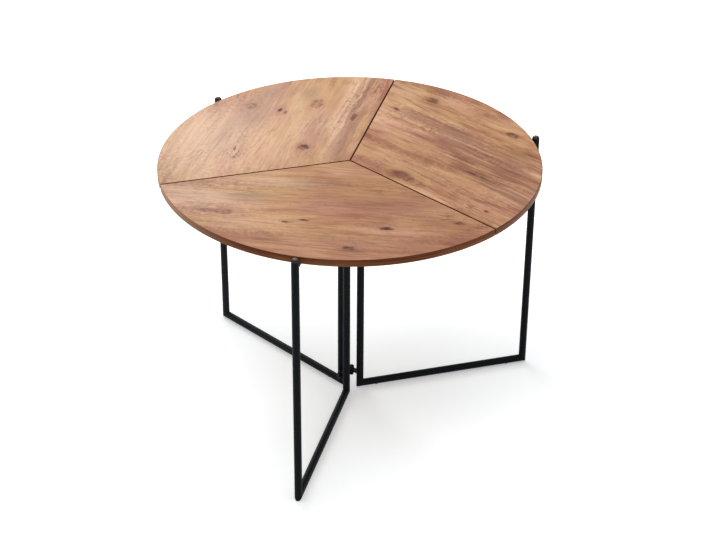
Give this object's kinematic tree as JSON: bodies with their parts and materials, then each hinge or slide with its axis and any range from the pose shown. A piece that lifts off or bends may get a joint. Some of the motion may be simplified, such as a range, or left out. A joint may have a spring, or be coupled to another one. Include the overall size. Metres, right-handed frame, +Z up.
{
  "type": "folding dining table",
  "caption": "Round folding dining table: wood-decor leaves that tilt on the axle bars of hinged round-tube frames, so top and frames fold into one flat pack.",
  "frame": {"origin": "on the floor under the middle of the round top", "axes": "+Z up, -Y towards the front frame's side, +X to the right"},
  "size_m": [1.0065, 1.0065, 0.7275],
  "materials": {
    "pine_decor": "satin",
    "edge_band": "satin",
    "powder_coat": "satin",
    "black_plastic": "satin",
    "glide_plastic": "matte",
    "strap_steel": "satin",
    "nylon": "matte",
    "zinc": "satin"
  },
  "bodies": {
    "back_frame": {"back_outer_leg": "powder_coat", "back_inner_post": "powder_coat", "back_bottom_rail": "powder_coat", "back_axle_bar": "powder_coat", "back_leg_cap": "black_plastic", "back_glides": "glide_plastic", "back_stop_peg": "powder_coat", "back_hinge_forks": "powder_coat", "hinge_bolts": "strap_steel", "hinge_nuts": "strap_steel", "hinge_washers": "black_plastic"},
    "back_leaf": {"back_leaf_board": "pine_decor", "back_leaf_edge_band": "edge_band", "back_leaf_straps": "strap_steel", "back_leaf_liners": "nylon", "back_leaf_seam_strip": "strap_steel", "back_leaf_screws": "zinc", "back_clamp_nut": "zinc"},
    "back_knob": {"back_clamp_knob": "black_plastic", "back_clamp_screw": "zinc"},
    "front_frame": {"front_outer_leg": "powder_coat", "front_inner_post": "powder_coat", "front_bottom_rail": "powder_coat", "front_axle_bar": "powder_coat", "front_leg_cap": "black_plastic", "front_glides": "glide_plastic", "front_stop_peg": "powder_coat", "front_hinge_tongues": "powder_coat"},
    "front_leaf": {"front_leaf_board": "pine_decor", "front_leaf_edge_band": "edge_band", "front_leaf_straps": "strap_steel", "front_leaf_liners": "nylon", "front_leaf_seam_strip": "strap_steel", "front_leaf_screws": "zinc", "front_clamp_nut": "zinc"},
    "front_knob": {"front_clamp_knob": "black_plastic", "front_clamp_screw": "zinc"},
    "right_frame": {"right_outer_leg": "powder_coat", "right_inner_post": "powder_coat", "right_bottom_rail": "powder_coat", "right_axle_bar": "powder_coat", "right_leg_cap": "black_plastic", "right_glides": "glide_plastic", "right_stop_peg": "powder_coat", "right_hinge_tongues": "powder_coat"},
    "right_leaf": {"right_leaf_board": "pine_decor", "right_leaf_edge_band": "edge_band", "right_leaf_straps": "strap_steel", "right_leaf_liners": "nylon", "right_leaf_seam_strip": "strap_steel", "right_leaf_screws": "zinc", "right_clamp_nut": "zinc"},
    "right_knob": {"right_clamp_knob": "black_plastic", "right_clamp_screw": "zinc"}
  },
  "joints": [
    {"name": "back_leaf_tilt", "type": "hinge", "parent": "back_frame", "child": "back_leaf", "pos_m": [-0.17678, 0.17678, 0.6955], "axis": [-0.7071, 0.7071, 0], "range_deg": [0, 90]},
    {"name": "front_leaf_tilt", "type": "hinge", "parent": "front_frame", "child": "front_leaf", "pos_m": [-0.0647, -0.24148, 0.6955], "axis": [-0.2588, -0.9659, 0], "range_deg": [0, 90]},
    {"name": "right_leaf_tilt", "type": "hinge", "parent": "right_frame", "child": "right_leaf", "pos_m": [0.24148, 0.0647, 0.6955], "axis": [0.9659, 0.2588, 0], "range_deg": [0, 90]},
    {"name": "right_frame_swing", "type": "hinge", "parent": "back_frame", "child": "right_frame", "pos_m": [0.00687, 0.02565, 0.3], "axis": [0, 0, 1], "range_deg": [0, 120]},
    {"name": "front_frame_swing", "type": "hinge", "parent": "back_frame", "child": "front_frame", "pos_m": [-0.02565, -0.00687, 0.3], "axis": [0, 0, -1], "range_deg": [0, 120]},
    {"name": "back_clamp_turn", "type": "hinge", "parent": "back_leaf", "child": "back_knob", "pos_m": [-0.28284, 0.28284, 0.6955], "axis": [0.7071, 0.7071, 0], "range_deg": [0, 360]},
    {"name": "front_clamp_turn", "type": "hinge", "parent": "front_leaf", "child": "front_knob", "pos_m": [-0.10353, -0.38637, 0.6955], "axis": [-0.9659, 0.2588, 0], "range_deg": [0, 360]},
    {"name": "right_clamp_turn", "type": "hinge", "parent": "right_leaf", "child": "right_knob", "pos_m": [0.38637, 0.10353, 0.6955], "axis": [0.2588, -0.9659, 0], "range_deg": [0, 360]}
  ],
  "couplings": [
    {"joint": "front_leaf_tilt", "follows": "back_leaf_tilt", "ratio": 1},
    {"joint": "right_leaf_tilt", "follows": "back_leaf_tilt", "ratio": 1},
    {"joint": "right_frame_swing", "follows": "back_leaf_tilt", "ratio": 1.3333},
    {"joint": "front_frame_swing", "follows": "back_leaf_tilt", "ratio": 1.3333}
  ]
}
